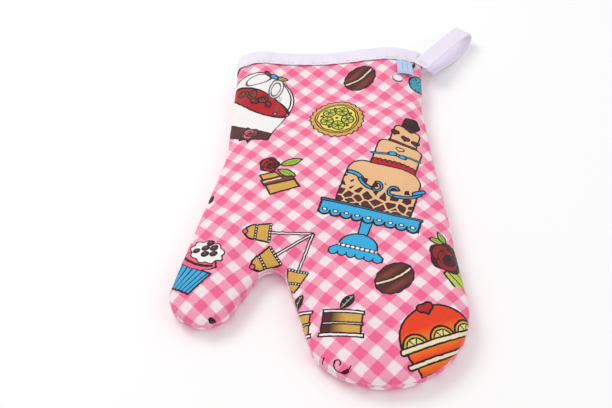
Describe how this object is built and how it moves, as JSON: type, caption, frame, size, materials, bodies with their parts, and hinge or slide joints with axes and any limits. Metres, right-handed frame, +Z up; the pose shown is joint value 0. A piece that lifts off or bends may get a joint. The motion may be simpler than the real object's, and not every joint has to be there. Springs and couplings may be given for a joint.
{
  "type": "oven mitt",
  "caption": "Padded fabric mitt with a thumb, a bound cuff, a hanging loop and a small blank label, for holding hot cookware.",
  "frame": {"origin": "centre of the flat underside, under the middle of the palm, on the surface the mitt lies on", "axes": "+Z up out of the front of the mitt, +Y from the fingertips to the open cuff, +X away from the thumb"},
  "size_m": [0.2145, 0.3012, 0.0209],
  "materials": {
    "printed_cotton": "woven cotton with a pink gingham print and small drawn desserts",
    "batting": "soft needled cotton wadding",
    "lining": "plain off-white woven cotton",
    "binding_tape": "white woven cotton tape, faintly lilac in shade",
    "thread": "white polyester sewing thread",
    "label_satin": "light blue satin label, left blank"
  },
  "bodies": {
    "hand": {"outer_front": "printed_cotton", "outer_back": "printed_cotton", "batting_front": "batting", "batting_back": "batting", "lining_front": "lining", "lining_back": "lining", "seam_thread": "thread", "cuff_binding": "binding_tape", "binding_thread": "thread", "loop_tab": "binding_tape", "loop_thread": "thread"},
    "thumb": {"outer_front_thumb": "printed_cotton", "outer_back_thumb": "printed_cotton", "batting_front_thumb": "batting", "batting_back_thumb": "batting", "lining_front_thumb": "lining", "lining_back_thumb": "lining", "seam_thread_thumb": "thread"},
    "loop": {"hanging_loop": "binding_tape"},
    "label": {"label": "label_satin"}
  },
  "joints": [
    {"name": "thumb_fold", "type": "hinge", "parent": "hand", "child": "thumb", "pos_m": [-0.062, -0.025, 0.0202], "axis": [-0.383, 0.9237, 0], "range_deg": [0, 75]},
    {"name": "loop_swing", "type": "hinge", "parent": "hand", "child": "loop", "pos_m": [0.07, 0.1105, 0.0172], "axis": [0.7314, -0.682, 0], "range_deg": [0, 140]},
    {"name": "label_lift", "type": "hinge", "parent": "hand", "child": "label", "pos_m": [0.052, 0.1099, 0.021], "axis": [-0.9962, 0.0872, 0], "range_deg": [0, 150]}
  ]
}
